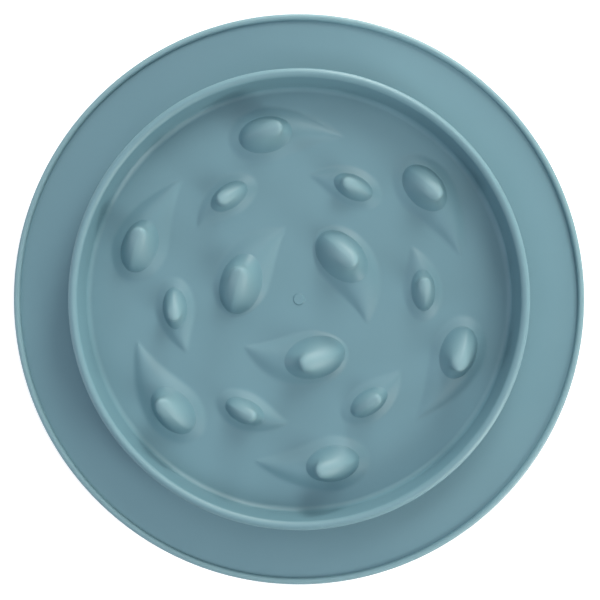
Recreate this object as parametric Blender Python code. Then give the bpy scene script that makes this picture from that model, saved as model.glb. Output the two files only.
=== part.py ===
"""Slow feeder mat.

A round silicone feeding mat: a flat outer mat with a spill lip on its edge, a raised bowl rim, and a
bowl floor whose leaf-shaped mounds carry three rings of leaning nubs. Metres, +Z up, with the
underside on z = 0 and the bowl's axis on Z.
"""

import math
from collections import namedtuple

import bmesh
import bpy
from mathutils import Matrix

MM = 0.001

# Gap that two seated pieces keep between their faces.
CLEARANCE = 0.3 * MM

# Outer mat: one flat sheet, with a ledge round its edge that carries the spill lip.
OVERALL_DIAMETER = 300 * MM
SHEET_THICKNESS = 3 * MM
LEDGE_THICKNESS = 1.4 * MM
EDGE_ROUNDING = 0.6 * MM

# Spill lip: a bead with a full round top.
LIP_WIDTH = 3.2 * MM
LIP_RISE = 3 * MM

# Bowl rim: a drafted wall with a full round crest and a lap foot under the sheets on both sides. The
# flange is the part of the mat that lies outside it.
FLANGE_WIDTH = 30.7 * MM
RIM_RISE = 21 * MM
RIM_CREST_WIDTH = 4.8 * MM
RIM_FOOT_FILLET = 3 * MM
INNER_DRAFT = math.radians(6.3)
OUTER_DRAFT = math.radians(2)
LAP_WIDTH = 4 * MM
LAP_THICKNESS = 1.2 * MM

# Bowl floor: the same sheet, with a low round gate mark where the silicone entered the mould.
GATE_MARK_DIAMETER = 5 * MM
GATE_MARK_RISE = 0.6 * MM
GATE_MARK_SLOPE = 0.6 * MM
SOCKET_DEPTH = 1 * MM

# Outer ring of nubs. Lengths and widths are those of the foot, rises are over the sheet's top face.
OUTER_NUB_COUNT = 6
OUTER_NUB_FROM_WALL = 23.6 * MM
OUTER_NUB_BEARING = math.radians(41.4)
OUTER_NUB_LENGTH = 27.8 * MM
OUTER_NUB_WIDTH = 18.4 * MM
OUTER_NUB_RISE = 16 * MM
OUTER_NUB_LEAN = 1.1 * MM
OUTER_TIP_REACH = 7 * MM
OUTER_TIP_RADIUS = 3.3 * MM
OUTER_MOUND_RISE = 4 * MM
OUTER_MOUND_SIDE = 5.5 * MM
OUTER_MOUND_REAR = 6 * MM
OUTER_TAIL_LENGTH = 42 * MM
OUTER_TAIL_DRIFT = 0 * MM
OUTER_TAIL_FULLNESS = 1.5

# Middle ring of nubs, which point the other way round.
MIDDLE_NUB_COUNT = 6
MIDDLE_NUB_FROM_OUTER = 22.8 * MM
MIDDLE_NUB_BEARING = math.radians(4.4)
MIDDLE_NUB_LENGTH = 21.4 * MM
MIDDLE_NUB_WIDTH = 12.2 * MM
MIDDLE_NUB_RISE = 12 * MM
MIDDLE_NUB_LEAN = 0.2 * MM
MIDDLE_TIP_REACH = 4.4 * MM
MIDDLE_TIP_RADIUS = 2.7 * MM
MIDDLE_MOUND_RISE = 3.2 * MM
MIDDLE_MOUND_SIDE = 4.3 * MM
MIDDLE_MOUND_REAR = 6 * MM
MIDDLE_TAIL_LENGTH = 24 * MM
MIDDLE_TAIL_DRIFT = 0 * MM
MIDDLE_TAIL_FULLNESS = 1.8

# Inner ring of nubs, the largest, whose tails swing outwards at their ends.
INNER_NUB_COUNT = 3
INNER_NUB_FROM_MIDDLE = 33.7 * MM
INNER_NUB_BEARING = math.radians(44.7)
INNER_NUB_LENGTH = 31.8 * MM
INNER_NUB_WIDTH = 21.4 * MM
INNER_NUB_RISE = 16.4 * MM
INNER_NUB_LEAN = 1.3 * MM
INNER_TIP_REACH = 5.8 * MM
INNER_TIP_RADIUS = 3.4 * MM
INNER_MOUND_RISE = 4.8 * MM
INNER_MOUND_SIDE = 3.8 * MM
INNER_MOUND_REAR = 1.6 * MM
INNER_TAIL_LENGTH = 36 * MM
INNER_TAIL_DRIFT = 6.7 * MM
INNER_TAIL_FULLNESS = 2.6

# Shape of every nub, as powers: how its rear bulges and its front is hollowed below the tip.
REAR_FULLNESS = 2.5
FRONT_HOLLOW = 1.7

# Shape of every mound, as powers: how its keel falls, its tail swings and its edge runs out.
KEEL_FALL = 1.2
TAIL_SWING = 4
MOUND_EDGE = 1.15
# Share of the pitch between two nubs that belongs to the tail of the first.
TAIL_SHARE = 0.6

# Facets
RING_SEGMENTS = 72
ARC_SEGMENTS = 6
FLOOR_FACET = 4.6 * MM
FLOOR_FIRST_POINTS = 15
FLOOR_LAST_POINTS = 120
NUB_POINTS = 20
NUB_LEVELS = 7

SILICONE_TEAL = (0.178, 0.318, 0.365, 1)
SILICONE_ROUGHNESS = 0.48
SMOOTH_ANGLE = math.radians(35)

SHEET_TOP = SHEET_THICKNESS
OUTER_RADIUS = OVERALL_DIAMETER / 2
CREST_RADIUS = RIM_CREST_WIDTH / 2
CREST_CENTRE_HEIGHT = SHEET_TOP + RIM_RISE - CREST_RADIUS
WALL_RISE = CREST_CENTRE_HEIGHT - SHEET_TOP
RIM_OUTER_FOOT = OUTER_RADIUS - FLANGE_WIDTH
CREST_CENTRE = RIM_OUTER_FOOT - WALL_RISE * math.tan(OUTER_DRAFT) - CREST_RADIUS
WALL_RADIUS = CREST_CENTRE - CREST_RADIUS - WALL_RISE * math.tan(INNER_DRAFT)
FILLET_RUN = RIM_FOOT_FILLET * (1 - math.sin(INNER_DRAFT)) / math.cos(INNER_DRAFT)
RIM_INNER_FOOT = WALL_RADIUS - FILLET_RUN
LAP_SEAT = LAP_THICKNESS + CLEARANCE
SOCKET_FLOOR = SHEET_TOP - SOCKET_DEPTH
GATE_MARK_RADIUS = GATE_MARK_DIAMETER / 2

NubRing = namedtuple(
    "NubRing",
    "name count radius bearing turn half_length half_width rise lean tip_reach tip_radius"
    " mound_rise mound_half_width mound_rear tail_length tail_drift tail_fullness",
)


def nub_rings():
    """The three rings of nubs, each placed inwards from the one outside it. Turn is the way round
    the bowl that the tips and tails point: 1 is anticlockwise from above."""
    outer_radius = WALL_RADIUS - OUTER_NUB_FROM_WALL
    middle_radius = outer_radius - MIDDLE_NUB_FROM_OUTER
    inner_radius = middle_radius - INNER_NUB_FROM_MIDDLE
    outer = NubRing(
        name="nub_outer",
        count=OUTER_NUB_COUNT,
        radius=outer_radius,
        bearing=OUTER_NUB_BEARING,
        turn=-1,
        half_length=OUTER_NUB_LENGTH / 2,
        half_width=OUTER_NUB_WIDTH / 2,
        rise=OUTER_NUB_RISE,
        lean=OUTER_NUB_LEAN,
        tip_reach=OUTER_TIP_REACH,
        tip_radius=OUTER_TIP_RADIUS,
        mound_rise=OUTER_MOUND_RISE,
        mound_half_width=OUTER_NUB_WIDTH / 2 + OUTER_MOUND_SIDE,
        mound_rear=OUTER_NUB_LENGTH / 2 + OUTER_MOUND_REAR,
        tail_length=OUTER_TAIL_LENGTH,
        tail_drift=OUTER_TAIL_DRIFT,
        tail_fullness=OUTER_TAIL_FULLNESS,
    )
    middle = NubRing(
        name="nub_middle",
        count=MIDDLE_NUB_COUNT,
        radius=middle_radius,
        bearing=MIDDLE_NUB_BEARING,
        turn=1,
        half_length=MIDDLE_NUB_LENGTH / 2,
        half_width=MIDDLE_NUB_WIDTH / 2,
        rise=MIDDLE_NUB_RISE,
        lean=MIDDLE_NUB_LEAN,
        tip_reach=MIDDLE_TIP_REACH,
        tip_radius=MIDDLE_TIP_RADIUS,
        mound_rise=MIDDLE_MOUND_RISE,
        mound_half_width=MIDDLE_NUB_WIDTH / 2 + MIDDLE_MOUND_SIDE,
        mound_rear=MIDDLE_NUB_LENGTH / 2 + MIDDLE_MOUND_REAR,
        tail_length=MIDDLE_TAIL_LENGTH,
        tail_drift=MIDDLE_TAIL_DRIFT,
        tail_fullness=MIDDLE_TAIL_FULLNESS,
    )
    inner = NubRing(
        name="nub_inner",
        count=INNER_NUB_COUNT,
        radius=inner_radius,
        bearing=INNER_NUB_BEARING,
        turn=-1,
        half_length=INNER_NUB_LENGTH / 2,
        half_width=INNER_NUB_WIDTH / 2,
        rise=INNER_NUB_RISE,
        lean=INNER_NUB_LEAN,
        tip_reach=INNER_TIP_REACH,
        tip_radius=INNER_TIP_RADIUS,
        mound_rise=INNER_MOUND_RISE,
        mound_half_width=INNER_NUB_WIDTH / 2 + INNER_MOUND_SIDE,
        mound_rear=INNER_NUB_LENGTH / 2 + INNER_MOUND_REAR,
        tail_length=INNER_TAIL_LENGTH,
        tail_drift=INNER_TAIL_DRIFT,
        tail_fullness=INNER_TAIL_FULLNESS,
    )
    return [outer, middle, inner]


NUB_RINGS = nub_rings()


def nub_place(ring, index):
    """Location and heading of one nub: it lies along its ring, with its tip in the ring's turn."""
    bearing = ring.bearing + index * math.tau / ring.count
    location = (ring.radius * math.cos(bearing), ring.radius * math.sin(bearing), 0)
    heading = bearing + ring.turn * math.pi / 2
    return location, heading


def mound_height(ring, x, y):
    """Height over the sheet of the ring's mounds at (x, y): a leaf round each nub, with a round rear
    end, a keel, and a pointed tail that follows the ring."""
    pitch = math.tau / ring.count
    turned = (math.atan2(y, x) - ring.bearing) * ring.turn % pitch
    if turned > TAIL_SHARE * pitch:
        turned -= pitch
    along = turned * ring.radius
    spine = ring.radius
    if along >= 0:
        reach = min(along / ring.tail_length, 1)
        half_width = ring.mound_half_width * (1 - reach**ring.tail_fullness)
        keel = ring.mound_rise * (1 - reach**KEEL_FALL)
        spine += ring.tail_drift * reach**TAIL_SWING
    else:
        reach = min(-along / ring.mound_rear, 1)
        half_width = ring.mound_half_width * math.sqrt(1 - reach**2)
        keel = ring.mound_rise * (1 - reach**2)
    across = abs(math.hypot(x, y) - spine)
    if across >= half_width:
        return 0
    return keel * (1 - (across / half_width) ** 2) ** MOUND_EDGE


def floor_height(x, y):
    """Height of the bowl floor's top face at (x, y), outside the gate mark."""
    return SHEET_TOP + max(mound_height(ring, x, y) for ring in NUB_RINGS)


def silicone(name):
    """Moulded silicone with a satin face."""
    material = bpy.data.materials.new(name + "_silicone")
    material.use_nodes = True
    shader = material.node_tree.nodes["Principled BSDF"]
    shader.inputs["Base Color"].default_value = SILICONE_TEAL
    shader.inputs["Roughness"].default_value = SILICONE_ROUGHNESS
    shader.inputs["Metallic"].default_value = 0
    material.diffuse_color = SILICONE_TEAL
    return material


def mesh_from(shape, name):
    """Mesh of a finished bmesh, facing outwards and shaded smooth across its shallow edges."""
    bmesh.ops.recalc_face_normals(shape, faces=shape.faces)
    mesh = bpy.data.meshes.new(name)
    shape.to_mesh(mesh)
    shape.free()
    mesh.shade_smooth()
    mesh.set_sharp_from_angle(angle=SMOOTH_ANGLE)
    return mesh


def add_piece(name, mesh, parent):
    piece = bpy.data.objects.new(name, mesh)
    bpy.context.scene.collection.objects.link(piece)
    piece.parent = parent
    return piece


def arc(centre, radius, start, end):
    """Points of an arc in the section plane, from one angle to the other in degrees."""
    angles = [math.radians(start + (end - start) * i / ARC_SEGMENTS) for i in range(ARC_SEGMENTS + 1)]
    return [(centre[0] + radius * math.cos(a), centre[1] + radius * math.sin(a)) for a in angles]


def turned_ring(name, section):
    """Ring made by turning a closed section of (radius, height) points about Z."""
    shape = bmesh.new()
    points = [shape.verts.new((radius, 0, height)) for radius, height in section]
    edges = [shape.edges.new((a, b)) for a, b in zip(points, points[1:] + points[:1])]
    bmesh.ops.spin(
        shape,
        geom=points + edges,
        cent=(0, 0, 0),
        axis=(0, 0, 1),
        angle=math.tau,
        steps=RING_SEGMENTS,
        use_merge=True,
    )
    return mesh_from(shape, name)


def outer_mat_section():
    """Flat sheet, with a rebate over the rim's lap foot inside and the lip's ledge outside."""
    inner = RIM_OUTER_FOOT + CLEARANCE
    rebate = RIM_OUTER_FOOT + LAP_WIDTH + CLEARANCE
    ledge = OUTER_RADIUS - LIP_WIDTH - CLEARANCE
    rounding = arc((OUTER_RADIUS - EDGE_ROUNDING, EDGE_ROUNDING), EDGE_ROUNDING, 0, -90)
    return [
        (rebate, 0),
        (rebate, LAP_SEAT),
        (inner, LAP_SEAT),
        (inner, SHEET_TOP),
        (ledge, SHEET_TOP),
        (ledge, LEDGE_THICKNESS),
        (OUTER_RADIUS, LEDGE_THICKNESS),
        *rounding[::3],
    ]


def spill_lip_section():
    """Bead that stands on the mat's ledge, flush with the mat's edge."""
    inner = OUTER_RADIUS - LIP_WIDTH
    foot = LEDGE_THICKNESS + CLEARANCE
    radius = LIP_WIDTH / 2
    top = arc((inner + radius, SHEET_TOP + LIP_RISE - radius), radius, 180, 0)
    return [(inner, foot), *top, (OUTER_RADIUS, foot)]


def bowl_rim_section():
    """Wall with a filleted inner foot and a round crest, on a flat lap foot."""
    fillet_centre = (RIM_INNER_FOOT, SHEET_TOP + RIM_FOOT_FILLET)
    fillet = arc(fillet_centre, RIM_FOOT_FILLET, -90, -math.degrees(INNER_DRAFT))
    crest = arc((CREST_CENTRE, CREST_CENTRE_HEIGHT), CREST_RADIUS, 180, 0)
    return [
        (RIM_INNER_FOOT - LAP_WIDTH, 0),
        (RIM_INNER_FOOT - LAP_WIDTH, LAP_THICKNESS),
        (RIM_INNER_FOOT, LAP_THICKNESS),
        *fillet[::2],
        *crest,
        (RIM_OUTER_FOOT, SHEET_TOP),
        (RIM_OUTER_FOOT, LAP_THICKNESS),
        (RIM_OUTER_FOOT + LAP_WIDTH, LAP_THICKNESS),
        (RIM_OUTER_FOOT + LAP_WIDTH, 0),
    ]


def floor_points(radius):
    """How many points a ring of the floor has: the first count, doubled as the rings widen."""
    count = FLOOR_FIRST_POINTS
    while count < FLOOR_LAST_POINTS and math.tau * radius / count > 1.2 * FLOOR_FACET:
        count *= 2
    return count


def bridge(shape, inside, outside):
    """Faces between two rings of points, of which the outer one may have twice as many."""
    count = len(inside)
    step = len(outside) // count
    for i in range(count):
        a, b = inside[i], inside[(i + 1) % count]
        across = [outside[(i * step + j) % len(outside)] for j in range(step + 1)]
        if step == 1:
            shape.faces.new((a, across[0], across[1], b))
        else:
            shape.faces.new((a, across[0], across[1]))
            shape.faces.new((a, across[1], b))
            shape.faces.new((b, across[1], across[2]))


def bowl_floor_mesh():
    """Disc whose top face carries the mounds and whose edge laps over the rim's inner foot."""
    edge = RIM_INNER_FOOT - CLEARANCE
    rebate = RIM_INNER_FOOT - LAP_WIDTH - CLEARANCE
    mark_top = GATE_MARK_RADIUS - GATE_MARK_SLOPE
    steps = round((edge - GATE_MARK_RADIUS) / FLOOR_FACET)
    shape = bmesh.new()

    def ring(radius, count, height):
        """One ring of points, at a height or at the height that a function gives."""
        points = []
        for i in range(count):
            bearing = math.tau * i / count
            x = radius * math.cos(bearing)
            y = radius * math.sin(bearing)
            z = height(x, y) if callable(height) else height
            points.append(shape.verts.new((x, y, z)))
        return points

    rings = [ring(mark_top, FLOOR_FIRST_POINTS, SHEET_TOP + GATE_MARK_RISE)]
    for i in range(steps + 1):
        radius = GATE_MARK_RADIUS + (edge - GATE_MARK_RADIUS) * i / steps
        rings.append(ring(radius, floor_points(radius), floor_height))
    last = len(rings[-1])
    rings.append(ring(edge, last, LAP_SEAT))
    rings.append(ring(rebate, last, LAP_SEAT))
    rings.append(ring(rebate, last, 0))
    for inside, outside in zip(rings, rings[1:]):
        bridge(shape, inside, outside)
    shape.faces.new(rings[0])
    shape.faces.new(rings[-1])
    return mesh_from(shape, "bowl_floor")


def nub_foot(ring, spread=0):
    """Outline of a nub's foot, an ellipse that may be spread by a clearance."""
    angles = [math.tau * i / NUB_POINTS for i in range(NUB_POINTS)]
    length = ring.half_length + spread
    width = ring.half_width + spread
    return [(length * math.cos(a), width * math.sin(a)) for a in angles]


def leaves_mound(ring):
    """Height at which the flanks of a nub leave its mound."""
    side = ring.half_width / ring.mound_half_width
    return SHEET_TOP + ring.mound_rise * (1 - side**2)


def nub_outline(ring, level):
    """Outline of a nub at a level between 0, where it leaves its mound, and 1, its tip: a leaning cone
    that ends in a ball, bulged at the rear and hollow below the tip. It leans outwards, which is to the
    left of a nub that points clockwise and to the right of one that points the other way."""
    height = SHEET_TOP + ring.rise - leaves_mound(ring)
    into_ball = max(1 - (1 - level) * height / ring.tip_radius, 0)
    ball = ring.tip_radius * math.sqrt(1 - into_ball**2)
    lean = ring.lean * (1 - (1 - level) ** 2)
    outline = []
    for i in range(NUB_POINTS):
        angle = math.tau * i / NUB_POINTS
        frontness = (1 + math.cos(angle)) / 2
        front = (1 - level) ** FRONT_HOLLOW
        rear = 1 - level**REAR_FULLNESS
        cone = frontness * front + (1 - frontness) * rear
        x = ((ring.half_length - ring.tip_radius) * cone + ball) * math.cos(angle)
        y = ((ring.half_width - ring.tip_radius) * cone + ball) * math.sin(angle)
        outline.append((x + ring.tip_reach * level, y - ring.turn * lean))
    return outline


def nub_mesh(ring):
    """Leaning thorn on a straight-sided foot, with its heading along +X."""
    start = leaves_mound(ring)
    tip = SHEET_TOP + ring.rise
    shape = bmesh.new()
    foot = [shape.verts.new((x, y, SOCKET_FLOOR + CLEARANCE)) for x, y in nub_foot(ring)]
    shape.faces.new(foot[::-1])
    below = foot
    for i in range(NUB_LEVELS):
        level = math.sin(math.pi / 2 * i / NUB_LEVELS)
        height = start + (tip - start) * level
        above = [shape.verts.new((x, y, height)) for x, y in nub_outline(ring, level)]
        bridge(shape, below, above)
        below = above
    apex_x, apex_y = nub_outline(ring, 1)[0]
    apex = shape.verts.new((apex_x, apex_y, tip))
    for a, b in zip(below, below[1:] + below[:1]):
        shape.faces.new((a, b, apex))
    return mesh_from(shape, ring.name)


def socket_cutter():
    """The feet of all nubs with their clearance, from the sockets' floors to above the mounds."""
    shape = bmesh.new()
    for ring in NUB_RINGS:
        top = SHEET_TOP + 2 * ring.mound_rise
        outline = nub_foot(ring, CLEARANCE)
        for index in range(ring.count):
            location, heading = nub_place(ring, index)
            base = [shape.verts.new((x, y, SOCKET_FLOOR)) for x, y in outline]
            lid = [shape.verts.new((x, y, top)) for x, y in outline]
            bridge(shape, base, lid)
            shape.faces.new(base[::-1])
            shape.faces.new(lid)
            place = Matrix.Translation(location) @ Matrix.Rotation(heading, 4, "Z")
            bmesh.ops.transform(shape, matrix=place, verts=base + lid)
    return mesh_from(shape, "socket_cutter")


def add_bowl_floor(parent):
    cutter = add_piece("socket_cutter", socket_cutter(), parent)
    cutter.hide_render = True
    cutter.display_type = "WIRE"
    floor = add_piece("bowl_floor", bowl_floor_mesh(), parent)
    sockets = floor.modifiers.new("nub sockets", "BOOLEAN")
    sockets.operation = "DIFFERENCE"
    sockets.solver = "EXACT"
    sockets.object = cutter
    floor.data.materials.append(silicone("bowl_floor"))


def add_turned_piece(name, section, parent):
    mesh = turned_ring(name, section)
    mesh.materials.append(silicone(name))
    add_piece(name, mesh, parent)


def add_nubs(ring, parent):
    mesh = nub_mesh(ring)
    mesh.materials.append(silicone(ring.name))
    for index in range(ring.count):
        nub = add_piece(f"{ring.name}_{index + 1}", mesh, parent)
        nub.location, heading = nub_place(ring, index)
        nub.rotation_euler = (0, 0, heading)


def build():
    for item in list(bpy.data.objects):
        bpy.data.objects.remove(item)
    mat = bpy.data.objects.new("slow_feeder_mat", None)
    bpy.context.scene.collection.objects.link(mat)
    add_turned_piece("outer_mat", outer_mat_section(), mat)
    add_turned_piece("spill_lip", spill_lip_section(), mat)
    add_turned_piece("bowl_rim", bowl_rim_section(), mat)
    add_bowl_floor(mat)
    for ring in NUB_RINGS:
        add_nubs(ring, mat)


build()
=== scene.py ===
import math
from collections import namedtuple

import bpy
from mathutils import Matrix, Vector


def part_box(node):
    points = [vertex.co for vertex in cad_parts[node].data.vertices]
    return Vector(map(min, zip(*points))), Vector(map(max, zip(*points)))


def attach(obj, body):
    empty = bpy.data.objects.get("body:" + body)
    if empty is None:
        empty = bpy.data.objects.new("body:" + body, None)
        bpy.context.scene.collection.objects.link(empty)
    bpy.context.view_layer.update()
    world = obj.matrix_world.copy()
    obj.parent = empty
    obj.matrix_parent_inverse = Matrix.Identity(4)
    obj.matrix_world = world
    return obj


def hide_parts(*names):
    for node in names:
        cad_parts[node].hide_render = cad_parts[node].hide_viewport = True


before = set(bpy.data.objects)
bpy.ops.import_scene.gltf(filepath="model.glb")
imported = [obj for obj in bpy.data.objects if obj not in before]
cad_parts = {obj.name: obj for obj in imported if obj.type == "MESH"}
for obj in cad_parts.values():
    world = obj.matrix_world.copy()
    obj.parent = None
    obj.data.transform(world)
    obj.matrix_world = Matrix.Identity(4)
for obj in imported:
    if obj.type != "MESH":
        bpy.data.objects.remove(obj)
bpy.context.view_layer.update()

# Outer mat
# The flat sheet round the bowl, of satin silicone in one dusty teal, moulded in one shot with the rest.
# It lies flat on the table and catches what is pushed over the bowl's rim.
mm = 0.001
mat_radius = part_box("outer_mat")[1].x
sheet_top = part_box("outer_mat")[1].z
lip_width = 3.2 * mm
lip_inner = mat_radius - lip_width
rim_outer_foot = 119.3 * mm
seam_overlap = 0.4 * mm
ring_steps = 432
merge_distance = 0.001 * mm
crease_angle = math.radians(30)


def add_section(name, inner, outer, bottom, top):
    """Upright rectangle beside the bowl's axis, from which a turned piece's section is shaped."""
    bpy.ops.object.select_all(action="DESELECT")
    centre = ((inner + outer) / 2, 0, (bottom + top) / 2)
    bpy.ops.mesh.primitive_plane_add(size=1, location=centre, rotation=(math.pi / 2, 0, 0))
    piece = bpy.context.object
    piece.name = name
    piece.data.name = name
    piece.scale = (outer - inner, top - bottom, 1)
    bpy.ops.object.transform_apply(location=True, rotation=True, scale=True)
    return piece


def close_mesh():
    """Merges the seams and poles of the mesh in edit mode, turns its faces outwards and shades it
    smooth but for its creases."""
    bpy.ops.mesh.select_all(action="SELECT")
    bpy.ops.mesh.remove_doubles(threshold=merge_distance)
    bpy.ops.mesh.normals_make_consistent(inside=False)
    bpy.ops.object.mode_set(mode="OBJECT")
    bpy.ops.object.shade_smooth_by_angle(angle=crease_angle)


def spin_about_axis():
    """Spins the mesh in edit mode about the bowl's axis and closes it."""
    bpy.ops.mesh.select_all(action="SELECT")
    bpy.ops.mesh.spin(steps=ring_steps, angle=math.tau, center=(0, 0, 0), axis=(0, 0, 1))
    close_mesh()


def turn_section():
    """Turns the section in hand into a ring, from its outline alone."""
    bpy.ops.object.mode_set(mode="EDIT")
    bpy.ops.mesh.select_all(action="SELECT")
    bpy.ops.mesh.delete(type="ONLY_FACE")
    spin_about_axis()


def linear(hex_colour):
    """Linear colour of an sRGB hex value."""
    channels = [int(hex_colour[i : i + 2], 16) / 255 for i in (1, 3, 5)]
    return (*(c / 12.92 if c <= 0.04045 else ((c + 0.055) / 1.055) ** 2.4 for c in channels), 1)


def add_node(material, kind, sockets, **settings):
    """Adds a node with its settings, and gives each named socket a value or a link."""
    made = material.node_tree.nodes.new(kind)
    for name, value in settings.items():
        setattr(made, name, value)
    for name, value in sockets.items():
        if isinstance(value, bpy.types.NodeSocket):
            material.node_tree.links.new(value, made.inputs[name])
        else:
            made.inputs[name].default_value = value
    return made


def moulded_silicone():
    """Silicone rubber out of a finely blasted mould: a satin face with a fine grain, and a colour that
    clouds slightly over some centimetres. The raised tops carry a painted highlight: paler and a little
    duller, for the sheen and glow that light gives them."""
    cloud_size = 40 * mm
    grain_size = 0.5 * mm  # drawn several times coarser than the blasted grain, so that it shows
    grain_depth = 0.1 * mm
    grain_strength = 0.06
    moulded_roughness = 0.45
    painted_highlight_roughness = 0.52
    material = bpy.data.materials.new("moulded_silicone_dusty_teal")
    material.use_nodes = True
    place = add_node(material, "ShaderNodeTexCoord", {}).outputs["Object"]
    clouds = add_node(
        material, "ShaderNodeTexNoise", {"Vector": place, "Scale": 1 / cloud_size, "Detail": 3}
    ).outputs["Fac"]
    # Strength of the painted highlight on the raised tops, read from the mesh.
    painted_highlight = add_node(material, "ShaderNodeAttribute", {}, attribute_name="painted_highlight").outputs["Fac"]
    moulded = add_node(
        material,
        "ShaderNodeMix",
        {"Factor": clouds, "A": linear("#688E99"), "B": linear("#6E939E")},
        data_type="RGBA",
    ).outputs["Result"]
    # Painted highlight: the teal made paler towards the raised tops.
    colour = add_node(
        material,
        "ShaderNodeMix",
        {"Factor": painted_highlight, "A": moulded, "B": linear("#7FA2AA")},
        data_type="RGBA",
    ).outputs["Result"]
    # Where the highlight is painted, the face is also a little duller.
    roughness = add_node(
        material,
        "ShaderNodeMapRange",
        {"Value": painted_highlight, "To Min": moulded_roughness, "To Max": painted_highlight_roughness},
    ).outputs["Result"]
    grain = add_node(
        material, "ShaderNodeTexNoise", {"Vector": place, "Scale": 1 / grain_size, "Detail": 2}
    ).outputs["Fac"]
    bump = add_node(
        material,
        "ShaderNodeBump",
        {"Height": grain, "Strength": grain_strength, "Distance": grain_depth},
    ).outputs["Normal"]
    shader = material.node_tree.nodes["Principled BSDF"]
    links = material.node_tree.links
    links.new(colour, shader.inputs["Base Color"])
    links.new(roughness, shader.inputs["Roughness"])
    links.new(bump, shader.inputs["Normal"])
    shader.inputs["IOR"].default_value = 1.5
    return material


silicone = moulded_silicone()


def finish_piece(piece, node):
    """Gives a piece its silicone and its place on the part."""
    piece.data.materials.clear()
    piece.data.materials.append(silicone)
    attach(piece, "root")
    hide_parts(node)


mat = add_section("mat_sheet", rim_outer_foot - seam_overlap, lip_inner + seam_overlap, 0, sheet_top)
turn_section()
finish_piece(mat, "outer_mat")

# Spill lip
# A thin bead of the same silicone along the mat's edge, moulded with the sheet. Its full round top keeps
# spilt water on the mat.
lip_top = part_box("spill_lip")[1].z
lip_round_segments = 8
lip_edge_rounding = 0.6 * mm
lip_edge_segments = 4
# The bead's round top carries a painted highlight, growing from the sheet's top to full near the bead's
# top.
lip_painted_highlight = 1
lip_painted_highlight_end = lip_top - lip_width / 4
touch = 0.01 * mm


def select_points(piece, wanted):
    """Goes into edit mode with only the points selected whose place is wanted."""
    bpy.ops.object.mode_set(mode="EDIT")
    bpy.ops.mesh.select_mode(type="VERT")
    bpy.ops.mesh.select_all(action="DESELECT")
    bpy.ops.object.mode_set(mode="OBJECT")
    for point in piece.data.vertices:
        point.select = wanted(point.co)
    bpy.ops.object.mode_set(mode="EDIT")


def round_corners(piece, wanted, radius, segments):
    """Rounds the wanted corners of a section, from a radius out along both sides."""
    select_points(piece, wanted)
    bpy.ops.mesh.bevel(offset=radius, segments=segments, affect="VERTICES")
    bpy.ops.object.mode_set(mode="OBJECT")


def paint_highlight(piece, start, end, amount):
    """Marks a piece for the painted highlight, stronger and stronger from one height to another."""
    marks = piece.data.attributes.new("painted_highlight", "FLOAT", "POINT")
    for point, mark in zip(piece.data.vertices, marks.data):
        mark.value = amount * max(0, min((point.co.z - start) / (end - start), 1))


lip = add_section("spill_bead", lip_inner, mat_radius, 0, lip_top)
round_corners(lip, lambda p: p.z > sheet_top, lip_width / 2, lip_round_segments)
round_corners(
    lip,
    lambda p: p.z < touch and p.x > mat_radius - touch,
    lip_edge_rounding,
    lip_edge_segments,
)
turn_section()
# Paints the highlight on the bead's top.
paint_highlight(lip, sheet_top, lip_painted_highlight_end, lip_painted_highlight)
finish_piece(lip, "spill_lip")

# Bowl rim
# The bowl's wall, of the same moulding: it widens upwards so that it leaves the mould, has a full round
# crest, and runs into the floor in a small fillet.
rim_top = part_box("bowl_rim")[1].z
wall_rise = rim_top - sheet_top
wall_inner_foot = 111.8 * mm
inner_draft = math.radians(6.3)
outer_draft = math.radians(2)
crest_width = 4.8 * mm
crest_flat = 0.04 * mm
crest_segments = 12
# The crest's top carries a faint painted highlight, growing from half its width below the top to a
# quarter below it.
crest_painted_highlight = 0.35
crest_painted_highlight_start = rim_top - crest_width / 2
crest_painted_highlight_end = rim_top - crest_width / 4
foot_fillet = 3 * mm
foot_fillet_segments = 10
floor_edge = wall_inner_foot - foot_fillet - seam_overlap

rim = add_section("bowl_wall", wall_inner_foot, rim_outer_foot, 0, rim_top)
select_points(rim, lambda p: True)
bpy.ops.mesh.bisect(plane_co=(0, 0, sheet_top), plane_no=(0, 0, 1))
bpy.ops.object.mode_set(mode="OBJECT")
for point in rim.data.vertices:
    if point.co.z > sheet_top + touch:
        inwards = point.co.x < (wall_inner_foot + rim_outer_foot) / 2
        slope = math.tan(inner_draft) if inwards else -math.tan(outer_draft)
        point.co.x += slope * wall_rise
select_points(rim, lambda p: p.z < sheet_top + touch and p.x < wall_inner_foot + touch)
bpy.ops.mesh.extrude_region_move(TRANSFORM_OT_translate={"value": (floor_edge - wall_inner_foot, 0, 0)})
bpy.ops.mesh.select_all(action="SELECT")
bpy.ops.mesh.dissolve_faces()
bpy.ops.object.mode_set(mode="OBJECT")
round_corners(
    rim,
    lambda p: abs(p.z - sheet_top) < touch and abs(p.x - wall_inner_foot) < touch,
    foot_fillet,
    foot_fillet_segments,
)
round_corners(rim, lambda p: p.z > rim_top - touch, (crest_width - crest_flat) / 2, crest_segments)
turn_section()
# Paints the highlight on the crest.
paint_highlight(rim, crest_painted_highlight_start, crest_painted_highlight_end, crest_painted_highlight)
finish_piece(rim, "bowl_rim")

# Bowl floor
# The bottom of the bowl, of the same moulding: a disc with fifteen low leaf-shaped mounds that lie round
# it in three rings and point along them, and a small round gate mark where the silicone was shot in.
floor_steps = 170
gate_mark_rings = 5
gate_mark_slope = 0.6 * mm
gate_mark_rise = 0.6 * mm

# Exponents: how late the keel falls and the tail swings out, and how softly the leaf's sides run out.
keel_fall = 2
tail_swing = 4
mound_edge = 1.15
tail_edge = 1.7
tail_share = 0.6  # of the way to the next mound, which a tail may take up

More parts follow.
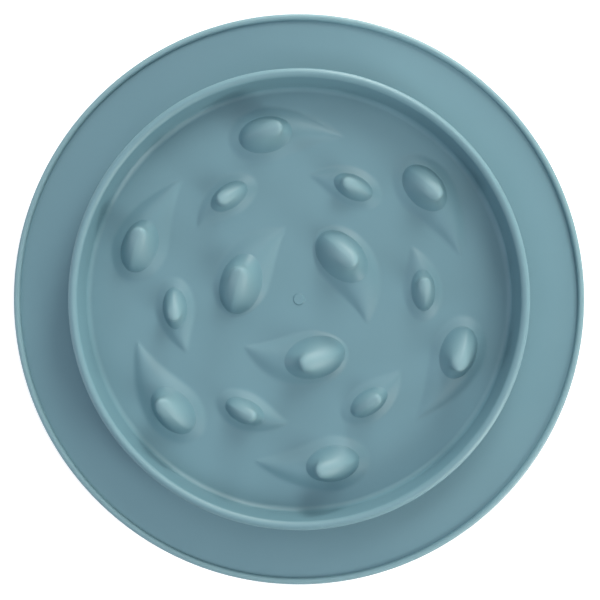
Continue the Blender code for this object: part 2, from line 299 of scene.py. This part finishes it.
Mound = namedtuple("Mound", "count radius bearing turn rise half_width rear tail drift fullness")
outer_mound = Mound(
    count=6,
    radius=88.2 * mm,
    bearing=math.radians(41.4),
    turn=-1,
    rise=4 * mm,
    half_width=14.7 * mm,
    rear=19.9 * mm,
    tail=42 * mm,
    drift=0,
    fullness=1.5,
)
middle_mound = Mound(
    count=6,
    radius=65.4 * mm,
    bearing=math.radians(4.4),
    turn=1,
    rise=3.2 * mm,
    half_width=10.4 * mm,
    rear=16.7 * mm,
    tail=24 * mm,
    drift=0,
    fullness=1.8,
)
inner_mound = Mound(
    count=3,
    radius=31.7 * mm,
    bearing=math.radians(44.7),
    turn=-1,
    rise=4.8 * mm,
    half_width=14.5 * mm,
    rear=17.5 * mm,
    tail=36 * mm,
    drift=6.7 * mm,
    fullness=2.6,
)
mounds = (outer_mound, middle_mound, inner_mound)


def mound_height(mound, x, y):
    """Height over the sheet of one ring of mounds: each a leaf with a round rear end, a keel, and a
    pointed tail that follows its ring."""
    pitch = math.tau / mound.count
    turned = (math.atan2(y, x) - mound.bearing) * mound.turn % pitch
    if turned > tail_share * pitch:
        turned -= pitch
    along = turned * mound.radius
    spine = mound.radius
    edge = mound_edge
    if along >= 0:
        reach = min(along / mound.tail, 1)
        half_width = mound.half_width * (1 - reach**mound.fullness)
        keel = mound.rise * (1 - reach**keel_fall)
        spine += mound.drift * reach**tail_swing
        edge += (tail_edge - mound_edge) * reach
    else:
        reach = min(-along / mound.rear, 1)
        half_width = mound.half_width * math.sqrt(1 - reach**2)
        keel = mound.rise * (1 - reach**2)
    across = abs(math.hypot(x, y) - spine)
    if across >= half_width:
        return 0
    return keel * (1 - (across / half_width) ** 2) ** edge


def floor_height(x, y):
    """Height of the floor's top face."""
    return sheet_top + max(mound_height(mound, x, y) for mound in mounds)


bpy.ops.object.select_all(action="DESELECT")
bpy.ops.mesh.primitive_plane_add(size=floor_edge, location=(floor_edge / 2, floor_edge / 2, sheet_top))
floor = bpy.context.object
floor.name = "bowl_bottom"
floor.data.name = "bowl_bottom"
bpy.ops.object.transform_apply(location=True)
select_points(floor, lambda p: p.y > floor_edge / 2)
bpy.ops.mesh.delete(type="VERT")
bpy.ops.mesh.select_all(action="SELECT")
bpy.ops.mesh.subdivide(number_cuts=floor_steps - 1)
spin_about_axis()
for point in floor.data.vertices:
    point.co.z = floor_height(point.co.x, point.co.y)
past_gate_mark = floor_edge * (gate_mark_rings + 0.5) / floor_steps  # half a ring beyond its edge
select_points(floor, lambda p: math.hypot(p.x, p.y) < past_gate_mark)
bpy.ops.mesh.select_mode(type="FACE")
bpy.ops.mesh.inset(thickness=gate_mark_slope, depth=gate_mark_rise)
bpy.ops.object.mode_set(mode="OBJECT")
select_points(floor, lambda p: math.hypot(p.x, p.y) > floor_edge - touch)
bpy.ops.mesh.extrude_region_move(TRANSFORM_OT_translate={"value": (0, 0, -sheet_top)})
bpy.ops.mesh.edge_face_add()
close_mesh()
finish_piece(floor, "bowl_floor")

# Nubs
# Fifteen blunt thorns of the same moulding, six by the wall, six half-way in and three round the middle.
# Each stands on its mound, leans along its ring and makes the pet lick round it.
nub_segments = 72
nub_rings = 60
nub_body_rings = 44
nub_fillet_rings = 6
nub_seat = 1.5 * mm
rear_fillet = 0.7 * mm
front_fillet = 0.1 * mm

# Exponents: how full the rear is, how hollow the front below the tip, and how far round the front goes.
rear_fullness = 2.5
front_hollow = 1.95
front_share = 0.55

# Parts of a nub's rise between which its painted highlight grows stronger and stronger.
nub_painted_highlight = 1
nub_painted_highlight_start = 0.25
nub_painted_highlight_end = 0.9

Nub = namedtuple("Nub", "name mound half_length half_width rise tip_reach tip_radius lean")
nub_kinds = [
    Nub(
        name="nub_outer",
        mound=outer_mound,
        half_length=13.9 * mm,
        half_width=9.2 * mm,
        rise=16 * mm,
        tip_reach=7 * mm,
        tip_radius=3.3 * mm,
        lean=1.1 * mm,
    ),
    Nub(
        name="nub_middle",
        mound=middle_mound,
        half_length=10.7 * mm,
        half_width=6.1 * mm,
        rise=12 * mm,
        tip_reach=4.4 * mm,
        tip_radius=2.7 * mm,
        lean=0.2 * mm,
    ),
    Nub(
        name="nub_inner",
        mound=inner_mound,
        half_length=15.9 * mm,
        half_width=10.7 * mm,
        rise=16.4 * mm,
        tip_reach=5.8 * mm,
        tip_radius=3.4 * mm,
        lean=1.3 * mm,
    ),
]


def facing_front(angle):
    """How far a direction from a nub's middle faces its front, from 0 at the rear to 1."""
    return (1 + math.cos(angle)) / 2


def nub_outline(nub, level, angle):
    """Point of a nub's outline at a level between 0, its oval foot, and 1, its tip: a leaning cone that
    ends in a ball, bulged at the rear and hollow below the tip."""
    into_ball = max(0, 1 - (1 - level) * (nub.rise - nub.mound.rise / 2) / nub.tip_radius)
    ball = nub.tip_radius * math.sqrt(1 - into_ball**2)
    frontness = facing_front(angle) ** front_share
    cone = frontness * (1 - level) ** front_hollow + (1 - frontness) * (1 - level**rear_fullness)
    x = nub.tip_reach * level + ((nub.half_length - nub.tip_radius) * cone + ball) * math.cos(angle)
    y = ((nub.half_width - nub.tip_radius) * cone + ball) * math.sin(angle)
    return x, y - nub.mound.turn * nub.lean * (1 - (1 - level) ** 2)


def nub_point(nub, place, ring, angle):
    """Where a point of a ball goes on the nub: the rings from the pole make the thorn, the next ones
    its fillet into the mound, and the rest its flat seat below the mound's face."""
    fillet = rear_fillet + (front_fillet - rear_fillet) * facing_front(angle)

    def spread(by):
        return (nub.half_length + by) * math.cos(angle), (nub.half_width + by) * math.sin(angle)

    def mound_face(x, y):
        spot = place @ Matrix.Translation((x, y, 0))
        return floor_height(spot.translation.x, spot.translation.y)

    if ring <= nub_body_rings:
        level = math.cos(math.pi / 2 * ring / nub_body_rings)
        x, y = nub_outline(nub, level, angle)
        start = mound_face(*spread(0)) + fillet
        return x, y, start + (sheet_top + nub.rise - start) * level
    past = (ring - nub_body_rings) / nub_fillet_rings
    if past <= 1:
        swing = math.pi / 2 * past
        x, y = spread(fillet * (1 - math.cos(swing)))
        return x, y, mound_face(x, y) + fillet * (1 - math.sin(swing))
    inwards = (nub_rings - ring) / (nub_rings - nub_body_rings - nub_fillet_rings - 1)
    x, y = spread(fillet)
    return x * inwards, y * inwards, nub_seat


def add_nub(nub):
    """Models one nub of a ring from a ball, at the ring's first bearing."""
    bearing = nub.mound.bearing
    middle = (nub.mound.radius * math.cos(bearing), nub.mound.radius * math.sin(bearing), 0)
    place = Matrix.Translation(middle) @ Matrix.Rotation(bearing + nub.mound.turn * math.pi / 2, 4, "Z")
    bpy.ops.object.select_all(action="DESELECT")
    bpy.ops.mesh.primitive_uv_sphere_add(segments=nub_segments, ring_count=nub_rings, radius=1)
    piece = bpy.context.object
    for point in piece.data.vertices:
        ring = round(math.acos(max(-1, min(point.co.z, 1))) / math.pi * nub_rings)
        angle = math.atan2(point.co.y, point.co.x)
        point.co = place @ Matrix.Translation(nub_point(nub, place, ring, angle)).translation
    bpy.ops.object.mode_set(mode="EDIT")
    close_mesh()
    # Paints the highlight up the thorn towards its tip.
    paint_highlight(piece, sheet_top + nub.rise * nub_painted_highlight_start, sheet_top + nub.rise * nub_painted_highlight_end, nub_painted_highlight)
    return piece


for nub in nub_kinds:
    first = add_nub(nub)
    for index in range(nub.mound.count):
        piece = first if index == 0 else first.copy()
        if index:
            piece.data = first.data.copy()
            piece.data.transform(Matrix.Rotation(index * math.tau / nub.mound.count, 4, "Z"))
            bpy.context.collection.objects.link(piece)
        piece.name = f"{nub.name}_thorn_{index + 1}"
        piece.data.name = piece.name
        finish_piece(piece, f"{nub.name}_{index + 1}")

# Table, light and camera
# A wide white table among soft round boxes that stand low, half-way up and high, the strong ones on the
# right and cooler ones on the left. It is seen from straight above, as in the photograph. The table
# shows white to the camera and keeps the mat's shadow.
table_width = 20
table_gap = 0.2 * mm
table_roughness = 0.6
bpy.ops.object.select_all(action="DESELECT")
bpy.ops.mesh.primitive_plane_add(size=table_width, location=(0, 0, -table_gap))
table = bpy.context.object
table.name = "table"
painted_board = bpy.data.materials.new("painted_board_matt_white")
painted_board.use_nodes = True
paint = painted_board.node_tree.nodes["Principled BSDF"]
paint.inputs["Base Color"].default_value = linear("#E7E7E7")
paint.inputs["Roughness"].default_value = table_roughness
paint.inputs["Emission Color"].default_value = linear("#CBCBCB")
rays = add_node(painted_board, "ShaderNodeLightPath", {}).outputs
mirrored = add_node(
    painted_board,
    "ShaderNodeMath",
    {0: rays["Is Glossy Ray"], 1: rays["Is Transmission Ray"]},
    operation="MAXIMUM",
)
seen = add_node(
    painted_board,
    "ShaderNodeMath",
    {0: rays["Is Camera Ray"], 1: mirrored.outputs[0]},
    operation="MAXIMUM",
)
painted_board.node_tree.links.new(seen.outputs[0], paint.inputs["Emission Strength"])
table.data.materials.append(painted_board)

room_strength = 0.03
world = bpy.data.worlds.new("dim_room")
world.use_nodes = True
room = world.node_tree.nodes["Background"]
room.inputs["Color"].default_value = linear("#C8E8FF")
room.inputs["Strength"].default_value = room_strength
bpy.context.scene.world = world

warm_white = "#FFFCF6"
plain_white = "#FFFFFF"
faintly_cool_white = "#F2F6FF"
cool_white = "#E6EDFF"
box_distance = 1
Box = namedtuple("Box", "name azimuth elevation width watts colour")
boxes = [
    Box("low_box_upper_right", 75, 10, 0.3, 5.4, warm_white),
    Box("low_box_lower_right", 322, 10, 0.3, 3.6, warm_white),
    Box("low_box_left", 195, 12, 0.3, 1.3, faintly_cool_white),
    Box("side_box_upper_right", 62, 34, 0.5, 4.6, warm_white),
    Box("side_box_lower_right", 325, 34, 0.5, 3.8, warm_white),
    Box("side_box_left", 180, 34, 0.6, 1.2, cool_white),
    Box("high_box_upper_right", 60, 55, 0.8, 1.6, plain_white),
    Box("high_box_upper_left", 130, 55, 0.8, 2, plain_white),
    Box("high_box_lower_right", 303, 55, 0.8, 1.4, plain_white),
    Box("high_box_lower_left", 240, 65, 0.7, 1.5, cool_white),
]
for box in boxes:
    lamp = bpy.data.lights.new(box.name, "AREA")
    lamp.shape = "DISK"
    lamp.size = box.width
    lamp.energy = box.watts
    lamp.color = linear(box.colour)[:3]
    stand = bpy.data.objects.new(box.name, lamp)
    bpy.context.collection.objects.link(stand)
    tilt = Matrix.Rotation(-math.radians(box.elevation), 4, "Y")
    away = Matrix.Rotation(math.radians(box.azimuth), 4, "Z") @ tilt
    stand.location = (away @ Matrix.Translation((box_distance, 0, 0))).translation
    stand.rotation_euler = stand.location.to_track_quat("Z", "Y").to_euler()

camera_height = 740 * mm
camera_spot = (0.5 * mm, -0.4 * mm, camera_height)  # the photograph's camera is a little off the axis
sensor_width = 36
photo_pixels = 600
mat_pixels = 571.6
picture_width = 2 * mat_radius * photo_pixels / mat_pixels
camera = bpy.data.objects.new("camera", bpy.data.cameras.new("camera"))
bpy.context.collection.objects.link(camera)
camera.location = camera_spot
camera.data.sensor_width = sensor_width
camera.data.lens = sensor_width * (camera_height - lip_top) / picture_width
bpy.context.scene.camera = camera
bpy.context.scene.view_settings.view_transform = "Standard"
